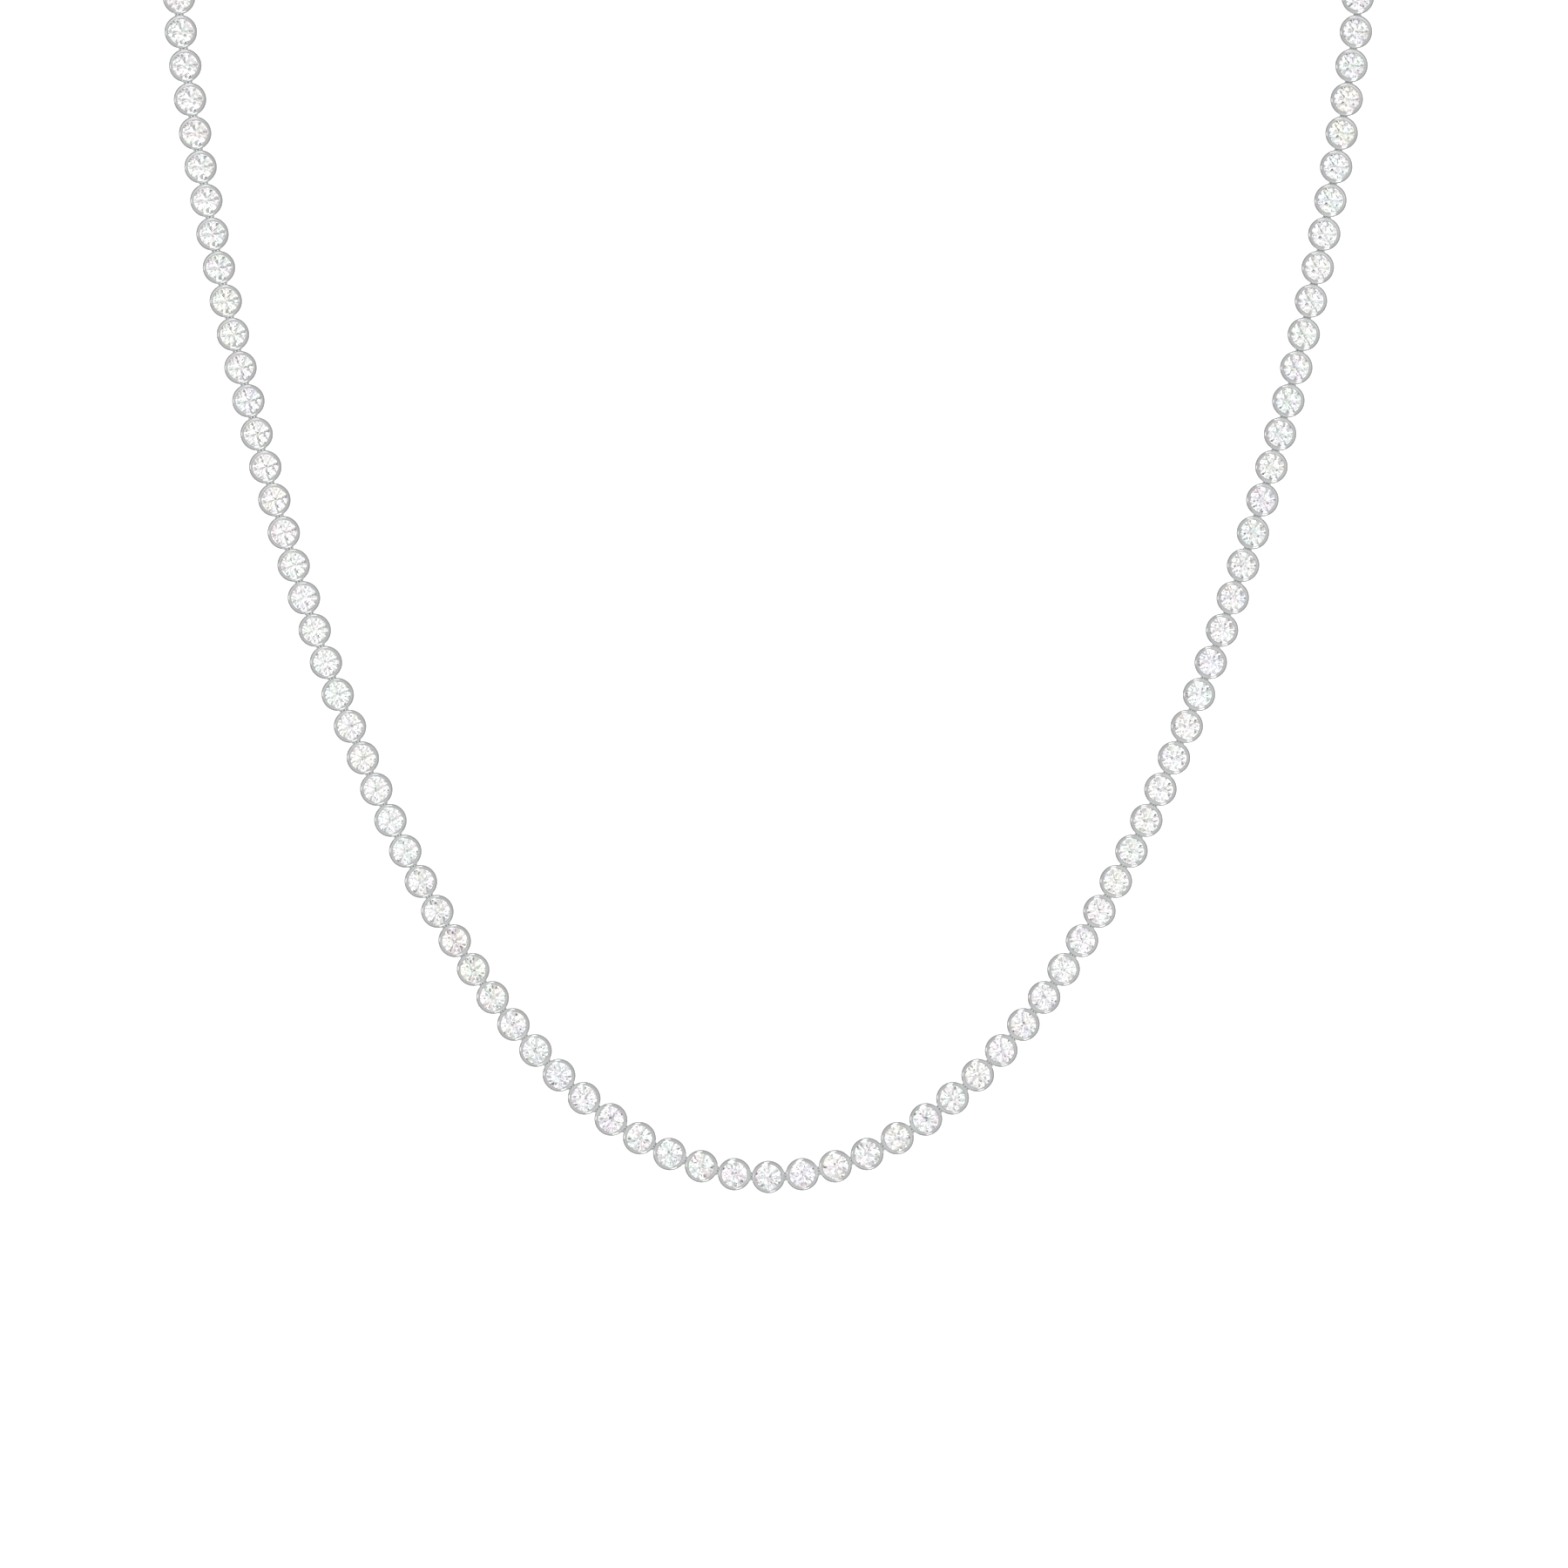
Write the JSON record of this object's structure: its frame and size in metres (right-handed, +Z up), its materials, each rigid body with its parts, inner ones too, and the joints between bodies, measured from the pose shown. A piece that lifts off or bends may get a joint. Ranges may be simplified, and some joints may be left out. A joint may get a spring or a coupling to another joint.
{
  "type": "riviere necklace",
  "caption": "Closed loop of equal round brilliants in rub-over cups, threaded eye through eye, in the form it takes on a neck, with a plain box clasp at the nape.",
  "frame": {"origin": "on the necklace's plane of symmetry, in the middle of the neck, level with the clasp's eyes at the nape and 55 mm in front of them", "axes": "+Z up along the neck, +X to the viewer's right from in front, -Y is the front that the lowest stone hangs on"},
  "size_m": [0.1288, 0.0929, 0.1296],
  "materials": {
    "white_metal": "polished rhodium-plated silver",
    "white_stone": "colourless, faceted and polished"
  },
  "bodies": {
    "root": {"settings_left": "white_metal", "settings_right": "white_metal", "stones_left": "white_stone", "stones_right": "white_stone", "clasp": "white_metal"}
  },
  "joints": []
}
